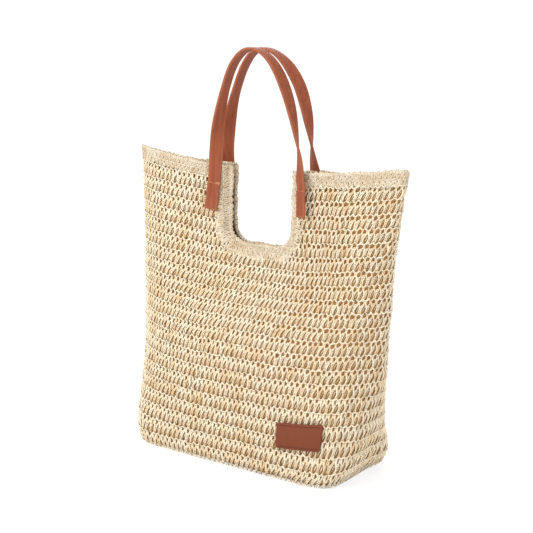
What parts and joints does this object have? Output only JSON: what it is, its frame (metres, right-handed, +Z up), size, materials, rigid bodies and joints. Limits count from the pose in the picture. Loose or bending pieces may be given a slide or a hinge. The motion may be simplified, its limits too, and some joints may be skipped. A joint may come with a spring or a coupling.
{
  "type": "beach bag",
  "caption": "Crocheted straw beach bag with a flat base, a deep hand notch between two flat ears, leather strap handles that fold outward and a blank leather label.",
  "frame": {"origin": "on the floor under the middle of the base", "axes": "+Z up, +X to the right seen from the front, the front with the label faces -Y"},
  "size_m": [0.4112, 0.1565, 0.5386],
  "materials": {
    "straw": "matte",
    "lining": "matte",
    "leather": "satin",
    "label": "satin"
  },
  "bodies": {
    "bag": {"base_panel": "straw", "front_panel": "straw", "back_panel": "straw", "left_gusset": "straw", "right_gusset": "straw", "front_edging": "straw", "back_edging": "straw", "base_lining": "lining", "front_lining": "lining", "back_lining": "lining", "left_lining": "lining", "right_lining": "lining", "inner_pocket": "lining", "front_left_tab": "leather", "front_right_tab": "leather", "back_left_tab": "leather", "back_right_tab": "leather", "label_patch": "label"},
    "front_handle": {"front_strap": "leather"},
    "back_handle": {"back_strap": "leather"}
  },
  "joints": [
    {"name": "front_handle_swing", "type": "hinge", "parent": "bag", "child": "front_handle", "pos_m": [0, -0.0205, 0.364], "axis": [1, 0, 0], "range_deg": [0, 160]},
    {"name": "back_handle_swing", "type": "hinge", "parent": "bag", "child": "back_handle", "pos_m": [0, 0.0205, 0.364], "axis": [-1, 0, 0], "range_deg": [0, 160]}
  ]
}
